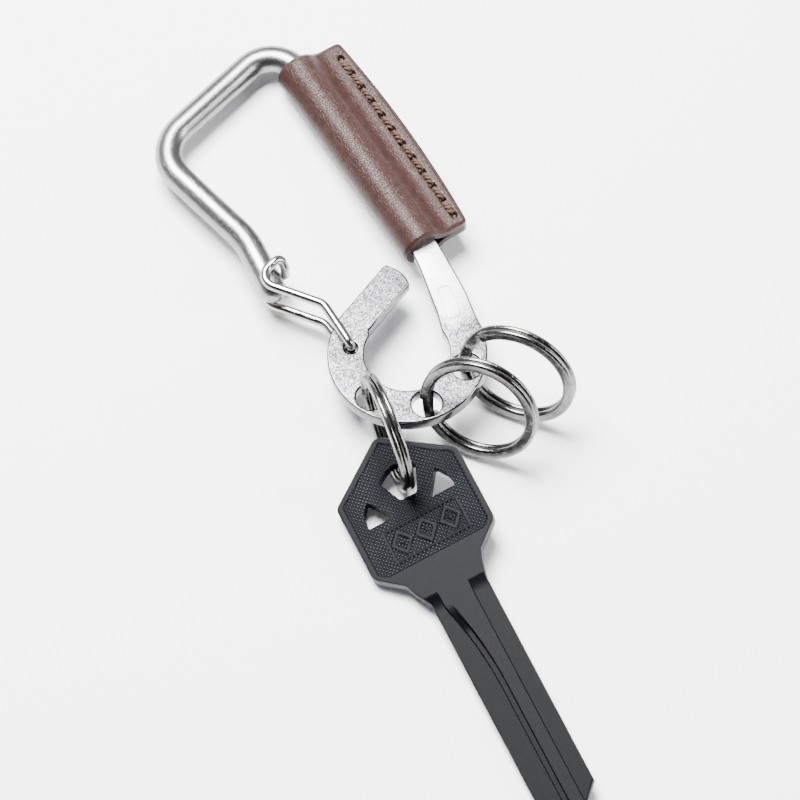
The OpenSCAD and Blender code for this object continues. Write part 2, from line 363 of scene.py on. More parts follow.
def circle(r, sides, x=0, y=0):
    angles = [2 * math.pi * k / sides for k in range(sides)]
    return [(x + r * math.cos(a), y + r * math.sin(a)) for a in angles]


def rounded_end(route, scale, r, steps=7):
    """Carries a route on into a domed end, stopping just short of a point."""
    way = (route[-1] - route[-2]).normalized()
    tip = route[-1]
    for k in range(1, steps + 1):
        a = math.pi / 2 * k / (steps + 0.2)
        route.append(tip + way * r * math.sin(a))
        scale.append(math.cos(a))
    return route, scale


# ---------------------------------------------------------------- materials

def node(tree, kind, **values):
    """A shader node; each value goes to the input of that name, or else to the setting."""
    n = tree.nodes.new(kind)
    for key, value in values.items():
        if key in n.inputs.keys():
            n.inputs[key].default_value = value
        else:
            setattr(n, key, value)
    return n


def ramp(tree, value, stops):
    """A colour ramp over a value; stops are (place, colour)."""
    n = tree.nodes.new("ShaderNodeValToRGB")
    while len(n.color_ramp.elements) < len(stops):
        n.color_ramp.elements.new(0.5)
    for e, (place, colour) in zip(n.color_ramp.elements, stops):
        e.position = place
        e.color = (*colour, 1)
    tree.links.new(value, n.inputs[0])
    return n.outputs["Color"]


def map_range(tree, value, low, high, to_low, to_high):
    """A value taken from one range to another."""
    n = tree.nodes.new("ShaderNodeMapRange")
    for k, x in zip((1, 2, 3, 4), (low, high, to_low, to_high)):
        n.inputs[k].default_value = x
    tree.links.new(value, n.inputs[0])
    return n.outputs[0]


def maths(tree, operation, a, b):
    """One sum over a varying value and either a number or another varying value."""
    n = tree.nodes.new("ShaderNodeMath")
    n.operation = operation
    tree.links.new(a, n.inputs[0])
    if isinstance(b, (int, float)):
        n.inputs[1].default_value = b
    else:
        tree.links.new(b, n.inputs[1])
    return n.outputs[0]


def mixed(tree, share, a, b):
    """Colour a turning into colour b by a varying share."""
    n = tree.nodes.new("ShaderNodeMix")
    n.data_type = "RGBA"
    tree.links.new(share, n.inputs[0])
    for k, x in ((6, a), (7, b)):
        if isinstance(x, tuple):
            n.inputs[k].default_value = (*x, 1)
        else:
            tree.links.new(x, n.inputs[k])
    return n.outputs[2]


def grain_group():
    """Fine grain and broad cloudiness of a worked metal surface."""
    group = bpy.data.node_groups.new("metal_grain", "ShaderNodeTree")
    takes = (("Place", "NodeSocketVector"), ("Fine", "NodeSocketFloat"), ("Broad", "NodeSocketFloat"))
    for name, kind in takes:
        group.interface.new_socket(name, in_out="INPUT", socket_type=kind)
    for name in ("Grain", "Cloud", "Scratch"):
        group.interface.new_socket(name, in_out="OUTPUT", socket_type="NodeSocketFloat")
    start = group.nodes.new("NodeGroupInput")
    end = group.nodes.new("NodeGroupOutput")
    for out, size, detail, rough in (("Grain", "Fine", 6, 0.7), ("Cloud", "Broad", 3, 0.5)):
        n = node(group, "ShaderNodeTexNoise", Detail=detail, Roughness=rough)
        group.links.new(start.outputs["Place"], n.inputs["Vector"])
        group.links.new(start.outputs[size], n.inputs["Scale"])
        group.links.new(n.outputs["Fac"], end.inputs[out])
    wave = node(group, "ShaderNodeTexNoise", Detail=2, Roughness=0.6)
    squeeze = node(group, "ShaderNodeMapping")
    squeeze.inputs["Scale"].default_value = (1, 0.06, 1)
    squeeze.inputs["Rotation"].default_value = (0, 0, 0.5)
    group.links.new(start.outputs["Place"], squeeze.inputs["Vector"])
    group.links.new(squeeze.outputs[0], wave.inputs["Vector"])
    group.links.new(start.outputs["Fine"], wave.inputs["Scale"])
    group.links.new(map_range(group, wave.outputs["Fac"], 0.62, 0.7, 0, 1), end.inputs["Scratch"])
    return group


GRAIN = grain_group()


def new_material(name, **shader):
    """A material with constants set on its shader, its tree and the shader."""
    m = bpy.data.materials.new(name)
    m.use_nodes = True
    tree = m.node_tree
    bsdf = tree.nodes["Principled BSDF"]
    for key, value in shader.items():
        bsdf.inputs[key.replace("_", " ")].default_value = value
    return m, tree, bsdf


def spot(tree):
    """The place on the piece, in metres."""
    return tree.nodes.new("ShaderNodeTexCoord").outputs["Object"]


def painted(tree, name, output="Fac"):
    """A value that the mesh holds for each vertex."""
    return node(tree, "ShaderNodeAttribute", attribute_name=name).outputs[output]


def grain_of(tree, fine, broad):
    """The grain group at the sizes asked for."""
    g = tree.nodes.new("ShaderNodeGroup")
    g.node_tree = GRAIN
    tree.links.new(spot(tree), g.inputs["Place"])
    g.inputs["Fine"].default_value = fine
    g.inputs["Broad"].default_value = broad
    return g


def bump(tree, bsdf, height, distance):
    b = node(tree, "ShaderNodeBump", Strength=1.0, Distance=distance)
    tree.links.new(height, b.inputs["Height"])
    tree.links.new(b.outputs[0], bsdf.inputs["Normal"])


def worked_steel(name, dark, light, rough, fine, broad, depth, scratch=0.0):
    """Bare steel: colour and gloss vary with the grain, over broad handling marks."""
    m, tree, bsdf = new_material(name, Metallic=1.0)
    g = grain_of(tree, fine, broad)
    tone = maths(tree, "ADD", maths(tree, "MULTIPLY", g.outputs["Grain"], 0.6),
                 maths(tree, "MULTIPLY", g.outputs["Cloud"], 0.4))
    tree.links.new(ramp(tree, tone, [(0.35, dark), (0.65, light)]), bsdf.inputs["Base Color"])
    gloss = maths(tree, "ADD", map_range(tree, g.outputs["Grain"], 0.3, 0.7, rough[0], rough[1]),
                  maths(tree, "MULTIPLY", g.outputs["Scratch"], scratch))
    tree.links.new(gloss, bsdf.inputs["Roughness"])
    scored = maths(tree, "MULTIPLY", g.outputs["Scratch"], 0.5)
    height = maths(tree, "SUBTRACT", g.outputs["Grain"], scored)
    bump(tree, bsdf, height, depth)
    return m


def tumbled_face():
    """Stone-tumbled plate: a fine salt-and-pepper of grey facets, polished pale on the strap."""
    m, tree, bsdf = new_material("tumbled_plate_face", Metallic=1.0)
    g = grain_of(tree, 5200, 120)
    place = spot(tree)
    chips = node(tree, "ShaderNodeTexVoronoi", Scale=6800.0)
    tree.links.new(place, chips.inputs["Vector"])
    speck = node(tree, "ShaderNodeSeparateColor")
    tree.links.new(chips.outputs["Color"], speck.inputs[0])
    tone = maths(tree, "ADD", maths(tree, "MULTIPLY", speck.outputs[0], 0.5),
                 maths(tree, "MULTIPLY", g.outputs["Grain"], 0.5))
    split = tree.nodes.new("ShaderNodeSeparateXYZ")
    tree.links.new(place, split.inputs[0])
    strap = maths(tree, "MULTIPLY",
                  map_range(tree, split.outputs["X"], *POLISHED_X, 0, 1),
                  map_range(tree, split.outputs["Y"], *POLISHED_Y, 0, 1))
    speckle = ramp(tree, tone, [
        (0.3, (0.030, 0.030, 0.033)), (0.5, (0.085, 0.085, 0.092)), (0.68, (0.30, 0.30, 0.31))])
    plain = ramp(tree, tone, [(0.3, (0.50, 0.50, 0.50)), (0.7, (0.68, 0.68, 0.67))])
    tree.links.new(mixed(tree, strap, speckle, plain), bsdf.inputs["Base Color"])
    rough = map_range(tree, g.outputs["Cloud"], 0.3, 0.7, 0.34, 0.5)
    rough = maths(tree, "ADD", rough, maths(tree, "MULTIPLY", strap, 0.16))
    tree.links.new(rough, bsdf.inputs["Roughness"])
    pitted = map_range(tree, strap, 0, 1, 1, 0.15)
    bump(tree, bsdf, maths(tree, "MULTIPLY", tone, pitted), 0.00006)
    return m


def sleeve_leather():
    """Smooth reddish-brown hide with pores, soft creases, darker burnished cut edges, and painted shade
    in the stitch holes.
    """
    m, tree, bsdf = new_material("smooth_brown_leather", Specular_IOR_Level=0.17)
    place = spot(tree)
    g = grain_of(tree, 900, 110)
    pores = node(tree, "ShaderNodeTexVoronoi", Scale=2300.0, feature="DISTANCE_TO_EDGE")
    tree.links.new(place, pores.inputs["Vector"])
    creases = node(tree, "ShaderNodeTexNoise", Scale=900.0, Detail=4, Distortion=0.4)
    tree.links.new(place, creases.inputs["Vector"])
    dyed = [(0.3, (0.0200, 0.0082, 0.0064)), (0.7, (0.0255, 0.0106, 0.0086))]
    rubbed, burnished, painted_hole_shade = (0.043, 0.021, 0.018), (0.030, 0.014, 0.012), (0.008, 0.004, 0.003)
    hide = ramp(tree, g.outputs["Cloud"], dyed)
    hide = mixed(tree, map_range(tree, g.outputs["Grain"], 0.35, 0.75, 0, 0.5), hide, rubbed)
    hide = mixed(tree, painted(tree, "cut_edge"), hide, burnished)
    # painted shade: the stitch holes are darkened to near black, standing in for the shade inside them
    hide = mixed(tree, painted(tree, "punched"), hide, painted_hole_shade)
    tree.links.new(hide, bsdf.inputs["Base Color"])
    tree.links.new(map_range(tree, g.outputs["Grain"], 0.3, 0.7, 0.27, 0.37), bsdf.inputs["Roughness"])
    pore_depth = map_range(tree, pores.outputs["Distance"], 0.0, 0.12, 0, 1)
    height = maths(tree, "ADD", maths(tree, "MULTIPLY", pore_depth, 0.35), creases.outputs["Fac"])
    bump(tree, bsdf, height, 0.00006)
    return m


def waxed_thread():
    """Tan waxed twist with a little fibre along the ply."""
    m, tree, bsdf = new_material("tan_waxed_thread", Roughness=0.55, Specular_IOR_Level=0.2)
    g = grain_of(tree, 3800, 260)
    tree.links.new(
        ramp(tree, g.outputs["Grain"], [(0.3, (0.030, 0.015, 0.010)), (0.7, (0.105, 0.060, 0.038))]),
        bsdf.inputs["Base Color"])
    bump(tree, bsdf, g.outputs["Grain"], 0.00005)
    return m


def etched_line():
    """The dark matt line of an etched mark."""
    m, tree, bsdf = new_material("etched_line", Metallic=0.9)
    g = grain_of(tree, 4000, 300)
    tree.links.new(
        ramp(tree, g.outputs["Grain"], [(0.3, (0.05, 0.05, 0.055)), (0.7, (0.13, 0.13, 0.14))]),
        bsdf.inputs["Base Color"])
    tree.links.new(map_range(tree, g.outputs["Grain"], 0.3, 0.7, 0.5, 0.7), bsdf.inputs["Roughness"])
    return m


def blackened_key():
    """Blackened steel: a knurl of small domes inside the rim of the bow, satin elsewhere; painted
    highlights on the dome tips, painted shade in the milled grooves, and edge wear with a painted
    highlight along the edges.
    """
    m, tree, bsdf = new_material("blackened_key_steel", Specular_IOR_Level=0.03)
    black = [(0.35, (0.0004, 0.0005, 0.0008)), (0.7, (0.0052, 0.0057, 0.0076))]
    painted_dome_highlight, painted_groove_shade, worn_edge_and_highlight = (0.060, 0.064, 0.076), (0.0012, 0.0013, 0.0017), (0.11, 0.11, 0.12)
    turn = node(tree, "ShaderNodeMapping", Rotation=(0, 0, math.radians(45)))
    tree.links.new(painted(tree, "key_place", "Vector"), turn.inputs["Vector"])
    dots = node(
        tree, "ShaderNodeTexVoronoi", Scale=1 / KNURL_PITCH, Randomness=0.0, voronoi_dimensions="2D")
    tree.links.new(turn.outputs[0], dots.inputs["Vector"])
    dome = map_range(tree, dots.outputs["Distance"], 0.12, 0.48, 1, 0)
    dome = maths(tree, "MULTIPLY", dome, painted(tree, "knurl"))
    g = grain_of(tree, 5200, 160)
    tone = ramp(tree, g.outputs["Grain"], black)
    patches = map_range(tree, g.outputs["Cloud"], 0.3, 0.7, 0.2, 0.9)
    # painted highlight: the knurl domes' tips are painted lighter, in patches, standing in for the
    # glints on the dots
    tip = maths(tree, "MULTIPLY", maths(tree, "POWER", dome, 2.5), patches)
    tone = mixed(tree, tip, tone, painted_dome_highlight)
    # painted shade: the milled grooves are painted darker, standing in for the shade in them
    tone = mixed(tree, painted(tree, "milled"), tone, painted_groove_shade)
    handled = map_range(tree, g.outputs["Cloud"], 0.35, 0.65, 0.25, 1)
    # edge wear and painted highlight: a lighter bare-steel colour along the edges, in patches, stands
    # for worn blackening and for the bright line of light along the rims
    wear_and_highlight_share = maths(tree, "MULTIPLY", painted(tree, "edge_wear_and_highlight"), handled)
    tree.links.new(mixed(tree, wear_and_highlight_share, tone, worn_edge_and_highlight), bsdf.inputs["Base Color"])
    tree.links.new(map_range(tree, g.outputs["Grain"], 0.3, 0.7, 0.27, 0.40), bsdf.inputs["Roughness"])
    height = maths(tree, "ADD", dome, maths(tree, "MULTIPLY", g.outputs["Grain"], 0.12))
    bump(tree, bsdf, height, 0.00016)
    return m


ROD_STEEL = worked_steel(
    "satin_rod_steel", dark=(0.12, 0.118, 0.116), light=(0.34, 0.335, 0.33), rough=(0.22, 0.33),
    fine=9000, broad=150, depth=0.000012)
PLATE_FACE = tumbled_face()
PLATE_EDGE = worked_steel(
    "polished_plate_edge", dark=(0.07, 0.07, 0.073), light=(0.17, 0.17, 0.17), rough=(0.12, 0.24),
    fine=900, broad=120, depth=0.00002)
WIRE_STEEL = worked_steel(
    "drawn_gate_wire", dark=(0.22, 0.215, 0.205), light=(0.46, 0.45, 0.43), rough=(0.10, 0.22),
    fine=1200, broad=140, depth=0.00002, scratch=0.1)
RING_STEEL = worked_steel(
    "ring_spring_steel", dark=(0.09, 0.088, 0.085), light=(0.22, 0.215, 0.21), rough=(0.12, 0.26),
    fine=1100, broad=130, depth=0.00003, scratch=0.15)
LEATHER = sleeve_leather()
THREAD = waxed_thread()
ETCHED = etched_line()
KEY_BLACK = blackened_key()


# ---------------------------------------------------------------- the bent rod

def make_rod():
    route = spaced(bent_route([(x, y, 0) for x, y in ROD_CORNERS], ROD_BENDS, 3), ROD_GAP)
    route, scale = rounded_end(route, [1.0] * len(route), ROD_R)
    verts, faces = swept(route, circle(ROD_R, 56), scale)
    place = on_carabiner()
    piece("bent_rod", verts, faces, place, ROD_STEEL, "carabiner", "carabiner_rod")


# ---------------------------------------------------------------- the hook plate

def in_arm(x, y):
    """A point of the hook arm, turned to the arm's own slant."""
    a = math.radians(ARM_ANGLE)
    return Vector((x * math.cos(a) - y * math.sin(a), x * math.sin(a) + y * math.cos(a)))


def arc(r, start, end, step=3):
    """Points of an arc round the eye's centre, with angles in degrees."""
    n = max(2, round(abs(end - start) / step))
    angles = [math.radians(start + (end - start) * k / n) for k in range(n + 1)]
    return [Vector((r * math.cos(a), r * math.sin(a))) for a in angles]


def hook_outline():
    """The plate's outline: the arm, round the hook, up and down the strap, and back round the eye."""
    arm = [in_arm(ARM_ROOT_X, ARM_INNER)]
    arm += [in_arm(*p) for p in rounded_corners(ARM_CORNERS, ARM_ROUNDS)]
    meet = math.degrees(math.acos(ARM_MEETS_HOOK_X / HOOK_R)) + ARM_ANGLE
    strap = rounded_corners(STRAP_CORNERS, STRAP_ROUNDS)
    return arm + arc(HOOK_R, meet, HOOK_END_ANGLE) + strap + arc(EYE_R, *EYE_ANGLES)


def filled_plate(outlines, thickness, bevel, name):
    """A flat plate with holes and bevelled edges, as a mesh in millimetres."""
    curve = bpy.data.curves.new(name, "CURVE")
    curve.dimensions = "2D"
    curve.fill_mode = "BOTH"
    curve.extrude = thickness / 2 - bevel
    curve.bevel_depth = bevel
    curve.bevel_resolution = 3
    curve.offset = -bevel
    for outline in outlines:
        s = curve.splines.new("POLY")
        s.points.add(len(outline) - 1)
        for p, q in zip(s.points, outline):
            p.co = (q[0], q[1], 0, 1)
        s.use_cyclic_u = True
    obj = bpy.data.objects.new(name, curve)
    bpy.context.scene.collection.objects.link(obj)
    bpy.context.view_layer.update()
    mesh = bpy.data.meshes.new_from_object(obj.evaluated_get(bpy.context.evaluated_depsgraph_get()))
    bpy.data.objects.remove(obj)
    bm = bmesh.new()
    bm.from_mesh(mesh)
    bmesh.ops.remove_doubles(bm, verts=bm.verts, dist=0.001)
    bm.to_mesh(mesh)
    bm.free()
    mesh.name = name
    return mesh


def make_hook_plate():
    outlines = [hook_outline(), circle(GATE_HOLE_R, 40, *GATE_HOLE)]
    for a in RING_HOLE_ANGLES:
        t = math.radians(a)
        x, y = HOLE_CIRCLE_R * math.cos(t), HOLE_CIRCLE_R * math.sin(t)
        outlines.append(circle(RING_HOLE_R, 40, x, y))
    mesh = filled_plate(outlines, PLATE_T, PLATE_BEVEL, "hook")
    mesh.materials.clear()
    mesh.materials.append(PLATE_FACE)
    mesh.materials.append(PLATE_EDGE)
    for f in mesh.polygons:
        f.material_index = 0 if abs(f.normal.z) > FLAT_FACE else 1
    mesh.transform(on_carabiner())
    steels = [PLATE_FACE, PLATE_EDGE]
    finish_piece("hook_with_strap", mesh, steels, "carabiner", "hook_plate")


def make_cartouche():
    """A plain etched frame on the strap, where a maker may put a mark."""
    line = rounded_corners(FRAME_CORNERS, [FRAME_ROUND] * 4, 6)
    verts, faces = [], []
    n = len(line)
    centre = sum(line, Vector((0, 0))) / n
    for lift in FRAME_LIFTS:
        for grow in (FRAME_LINE_HALF, -FRAME_LINE_HALF):
            for p in line:
                q = p + (p - centre).normalized() * grow
                verts.append((q.x, q.y, PLATE_T / 2 + lift))
    for j in range(n):
        k = (j + 1) % n
        faces.append((2 * n + j, 2 * n + k, 3 * n + k, 3 * n + j))
        faces.append((j, n + j, n + k, k))
        faces.append((j, k, 2 * n + k, 2 * n + j))
        faces.append((n + j, 3 * n + j, 3 * n + k, n + k))
    piece("strap_frame_line", verts, faces, on_carabiner(), ETCHED, "carabiner", None)


# ---------------------------------------------------------------- the leather sleeve

def flange_reach(y):
    """The flange's width at a height: its edge is a shallow arc with rounded corners."""
    mid = (SLEEVE_Y0 + SLEEVE_Y1) / 2
    half = (SLEEVE_Y1 - SLEEVE_Y0) / 2
    round_off = 0
    for near in (y - SLEEVE_Y0, SLEEVE_Y1 - y):
        if near < CORNER_R:
            round_off = CORNER_R - math.sqrt(CORNER_R ** 2 - (CORNER_R - near) ** 2)
    return FLANGE_W - FLANGE_BOW * ((y - mid) / half) ** 2 - round_off


def sleeve_line(reach):
    """The middle of the hide seen along the rod, as pairs of point and outward normal."""
    wrap = ROD_R + LEATHER_T / 2
    half = LEATHER_T / 2
    fillet_x = math.sqrt((wrap + FLANGE_FILLET) ** 2 - (half + FLANGE_FILLET) ** 2)
    meet = math.atan2(half + FLANGE_FILLET, fillet_x)
    upper = []
    for k in range(FLAT_STEPS):
        upper.append(((reach + (fillet_x - reach) * k / FLAT_STEPS, half), (0, 1)))
    for k in range(FILLET_STEPS):
        a = 1.5 * math.pi - (math.pi / 2 - meet) * k / FILLET_STEPS
        x = fillet_x + FLANGE_FILLET * math.cos(a)
        z = half + FLANGE_FILLET + FLANGE_FILLET * math.sin(a)
        upper.append(((x, z), (-math.cos(a), -math.sin(a))))
    for k in range(WRAP_STEPS + 1):
        a = meet + (math.pi - meet) * k / WRAP_STEPS
        upper.append(((wrap * math.cos(a), wrap * math.sin(a)), (math.cos(a), math.sin(a))))
    lower = [((x, -z), (nx, -nz)) for (x, z), (nx, nz) in reversed(upper[:-1])]
    return upper + lower


def punched_at(x, y):
    """How far a point of the flange is into the nearest stitch hole: 1 in it, 0 clear of it."""
    near = round((y - STITCH_Y0) / STITCH_PITCH)
    if not 0 <= near < STITCH_COUNT:
        return 0
    away = math.hypot((x - STITCH_X) * 1.15, (y - STITCH_Y0 - near * STITCH_PITCH) * 0.85)
    return 1 - smooth_step((away - HOLE_R) / HOLE_WALL)


def make_sleeve():
    verts, faces, edge, hole = [], [], [], []
    inner_half = LEATHER_T / 2 - LAYER_GAP
    for j in range(SLEEVE_ROWS + 1):
        y = SLEEVE_Y0 + (SLEEVE_Y1 - SLEEVE_Y0) * j / SLEEVE_ROWS
        line = sleeve_line(flange_reach(y))
        near_end = min(y - SLEEVE_Y0, SLEEVE_Y1 - y)
        outer, inner = [], []
        for (x, z), (nx, nz) in line:
            from_rim = flange_reach(y) - x
            to_cut = min(near_end, from_rim)
            soft = LEATHER_T / 2 - CUT_SOFTEN * (1 - smooth_step(to_cut / CUT_REACH))
            seam = 0
            punched = 0
            if x > SEAM_FROM_X:
                seam = SEAM_DEPTH * math.exp(-((x - STITCH_X) / SEAM_HALF) ** 2)
                seam *= smooth_step((near_end - 2) / 1.5)
                punched = punched_at(x, y)
            wobble = HIDE_WOBBLE * noise.noise(Vector((x * 0.5, y * 0.35, z * 0.5)))
            depth = soft - seam - HOLE_DEPTH * punched + wobble * smooth_step(to_cut)
            outer.append((SPINE_X + x + nx * depth, y, z + nz * depth))
            inner.append((SPINE_X + x - nx * inner_half, y, z - nz * inner_half))
            edge.append(0.85 * (1 - smooth_step(to_cut / 0.5)))
            # how far into a stitch hole: it sets the dip, and the share of painted shade there
            hole.append(punched)
        verts += outer + inner[::-1]
        edge += [1.0 if near_end < 0.6 else 0.9] * len(line)
        hole += [0.0] * len(line)
    n = len(verts) // (SLEEVE_ROWS + 1)
    for j in range(SLEEVE_ROWS):
        for k in range(n):
            k2 = (k + 1) % n
            faces.append((j * n + k, j * n + k2, (j + 1) * n + k2, (j + 1) * n + k))
    for j in (0, SLEEVE_ROWS):
        for k in range(n // 2 - 1):
            faces.append((j * n + k, j * n + k + 1, j * n + n - 2 - k, j * n + n - 1 - k))
    place = on_carabiner()
    sleeve = piece(
        "leather_grip", verts, faces, place, LEATHER, "carabiner", "leather_sleeve")
    mark(sleeve.data, "cut_edge", edge)
    mark(sleeve.data, "punched", hole)
    line = [Vector(p) for p, _ in sleeve_line(FLANGE_W - FLANGE_BOW / 3)]


def stitch(start, end, side, shift, seed):
    """One two-ply stitch that dives into the hole at each end; returns the two plies' routes."""
    plies = [[], []]
    for k in range(STITCH_STEPS + 1):
        t = k / STITCH_STEPS
        y = start + (end - start) * t
        rise = math.sin(math.pi * t) ** 0.6 if 0 < t < 1 else 0
        z = LEATHER_T - STITCH_DIP + STITCH_RISE * rise
        turn = 2 * math.pi * (y / PLY_TURN) + seed
        for ply in plies:
            ply.append(Vector((
                SPINE_X + STITCH_X + shift + PLY_R * 0.9 * math.cos(turn),
                y,
                side * (z + PLY_R * 0.9 * math.sin(turn)))))
            turn += math.pi
    return plies


def make_thread():
    """The stitches on both faces of the flange; the first and last are sewn twice."""
    verts, faces = [], []
    for side in (1, -1):
        for i in range(STITCH_COUNT - 1):
            a = STITCH_Y0 + i * STITCH_PITCH + STITCH_START
            b = a + STITCH_PITCH - 2 * STITCH_START
            double = i in (0, STITCH_COUNT - 2)
            for shift in (-BACK_STITCH, BACK_STITCH) if double else (0.0,):
                for ply in stitch(a, b, side, shift, i + shift):
                    v, f = swept(ply, circle(PLY_R, PLY_SIDES))
                    faces += [tuple(k + len(verts) for k in face) for face in f]
                    verts += v
    place = on_carabiner()
    piece("sewn_thread", verts, faces, place, THREAD, "carabiner", "sewing_thread")


# ---------------------------------------------------------------- the wire gate

def make_gate():
    down = [(x, y, -z) for x, y, z in reversed(GATE_UP)]
    route = spaced(bent_route(GATE_UP + down, GATE_BENDS, 6), 0.5)
    verts, faces = swept(route, circle(GATE_R, 32))
    piece("gate_wire", verts, faces, on_carabiner(), WIRE_STEEL, "gate", "wire_gate")


# ---------------------------------------------------------------- the split rings

def ring_section():
    """A wire flattened on two sides, with rounded edges: (across the ring, along its axis)."""
    half_flat = (RING_W - RING_T) / 2
    out = []
    for side in (1, -1):
        for k in range(RING_SECTION_STEPS + 1):
            a = -side * math.pi / 2 + math.pi * k / RING_SECTION_STEPS
            across = side * half_flat + RING_T / 2 * math.cos(a)
            out.append((across, RING_T / 2 * COIL_FILL * math.sin(a)))
    return out


def ring_centre(body):
    """A ring turns about its own centre; the last ring's centre is where the key swings."""
    joints = frame["joints"]
    own = [j for j in joints if j["child"] == body and "continuous" in j]
    key = [j for j in joints if j["child"] == "key"]
    return Vector((own + key)[0]["pos_m"])


def make_ring(i):
    """A split ring: two turns of wire side by side, with a step from one to the other."""
    body = "ring_" + "abc"[i]
    cad = "ring_%d" % (i + 1)
    heading = math.radians(RING_HEADING[i])
    lean = math.radians(RING_LEAN[i])
    along = Vector((math.cos(heading), math.sin(heading), 0))
    normal = Matrix.Rotation(heading, 3, "Z") @ Vector((0, -math.cos(lean), math.sin(lean)))
    up = normal.cross(along)
    if up.z < 0:
        up = -up
    axis = along.cross(up)
    centre = ring_centre(body)
    mid = RING_R - RING_W / 2
    turns = 360 + 360 - RING_STEP
    section = ring_section()
    verts = []
    for k in range(RING_STEPS + 1):
        a = turns * k / RING_STEPS
        rise = smooth_step((a - (360 - RING_STEP)) / RING_STEP)
        z = RING_T * (rise - 0.5)
        t = math.radians(a + RING_SPLIT[i])
        for across, thick in section:
            r = mid + across
            p = along * (r * math.cos(t)) + up * (r * math.sin(t)) + axis * (z + thick)
            verts.append(centre + p * MM)
    faces = tube_faces(RING_STEPS + 1, len(section))
    place = Matrix.Identity(4)
    piece("split_ring_%d" % (i + 1), verts, faces, place, RING_STEEL, body, cad)


# ---------------------------------------------------------------- the key

def key_outline():
    """The key's outline, clockwise from the bow's apex."""
    corners = [APEX] + KEY_SIDE + [(-x, y) for x, y in reversed(KEY_SIDE)]
    corners = [(x + BOW_SHIFT, y) if y > NECK_Y else (x, y) for x, y in corners]
    return rounded_corners(corners, [APEX_ROUND] + KEY_ROUNDS + KEY_ROUNDS[::-1], 10)


def key_edges():
    """The left and right edges from the apex to the tip, each as points going down."""
    points = key_outline()
    top = max(p.y for p in points)
    tip = min(p.y for p in points)
    first = max(range(len(points)), key=lambda i: points[i].y)
    ring = points[first:] + points[:first]
    turn = max(i for i, p in enumerate(ring) if p.y <= tip + 1e-6 and p.x > 0)
    right = ring[:turn + 1]
    left = [ring[0]] + ring[:turn:-1]
    return left, right, top


def edge_at(edge, y):
    """Where an edge is at a height, and how fast it moves sideways going down."""
    for a, b in zip(edge, edge[1:]):
        if a.y >= y >= b.y and a.y > b.y:
            slope = (b.x - a.x) / (a.y - b.y)
            return a.x + slope * (a.y - y), slope
    return edge[-1].x, 0


def cutout_outlines():
    """The bow's three openings: one for the ring, and one on each side of it."""
    fan = rounded_corners(RING_CUTOUT, RING_CUTOUT_ROUNDS)
    side = rounded_corners(SIDE_CUTOUT, SIDE_CUTOUT_ROUNDS)
    right = [Vector((p.x + BOW_SHIFT, p.y)) for p in side]
    left = [Vector((BOW_SHIFT - p.x, p.y)) for p in reversed(side)]
    return [fan, right, left]


def in_panel(x, y, inset):
    low, high = PANEL_Y
    return abs(x) <= PANEL_X - inset and low + inset <= y <= high - inset


def bow_relief(x, y, to_edge):
    """How deep the knurled field lies at a point, and how much of the knurl shows there."""
    raised = in_panel(x, y, 0) and not in_panel(x, y, PANEL_LINE)
    mid = sum(PANEL_Y) / 2
    for c in LOZENGE_X:
        away = abs(x - c) / LOZENGE_HALF[0] + abs(y - mid) / LOZENGE_HALF[1]
        if LOZENGE_BAND[0] < away < LOZENGE_BAND[1] or away < LOZENGE_CORE:
            raised = True
    if raised:
        return 0, 0
    field = smooth_step((to_edge - RIM) / FIELD_WALL) * smooth_step((y - FIELD_END) / FIELD_WALL)
    return FIELD_DEPTH * field, field


def groove_depth(x, y, face):
    """How deep the milled grooves are at a point of one face of the blade."""
    if y > BLADE_Y0 + 3:
        return 0
    x = x * face
    run = max(0, y - BLADE_Y0)
    fade = CUTTER_R - math.sqrt(max(0, CUTTER_R ** 2 - run ** 2))
    along = min(1.0, max(0.0, (BLADE_Y0 - y) / SWEEP_LENGTH))
    shift = SWEEP_WIDTH * (1 - along) ** 2
    wide = WIDE_DEPTH * smooth_step((SLOT_X[0] - shift - x) / WALL + 0.5)
    slot = SLOT_DEPTH * smooth_step((x + shift - SLOT_X[0]) / WALL + 0.5)
    slot *= smooth_step((SLOT_X[1] - x - shift) / WALL + 0.5)
    slot *= smooth_step((BLADE_Y0 - y) / SLOT_RUN_IN)
    right = RIGHT_DEPTH * smooth_step((x - RIGHT_X) / WALL + 0.5)
    return max(0, max(wide, slot, right) - fade)


def key_rows(top):
    """Heights of the key's rows of points, closest in the bow, the neck and the tip."""
    start = top - 0.02
    ys = [start - (start - NECK_Y) * k / BOW_ROWS for k in range(BOW_ROWS + 1)]
    ys += [NECK_Y - FINE_ROW * k for k in range(1, NECK_ROWS + 1)]
    ys += [BLADE_ROWS_FROM - BLADE_ROW * k for k in range(BLADE_ROWS)]
    ys += [TIP_Y - FINE_ROW * k for k in range(TIP_ROWS)]
    return sorted(set(round(y, 4) for y in ys), reverse=True)


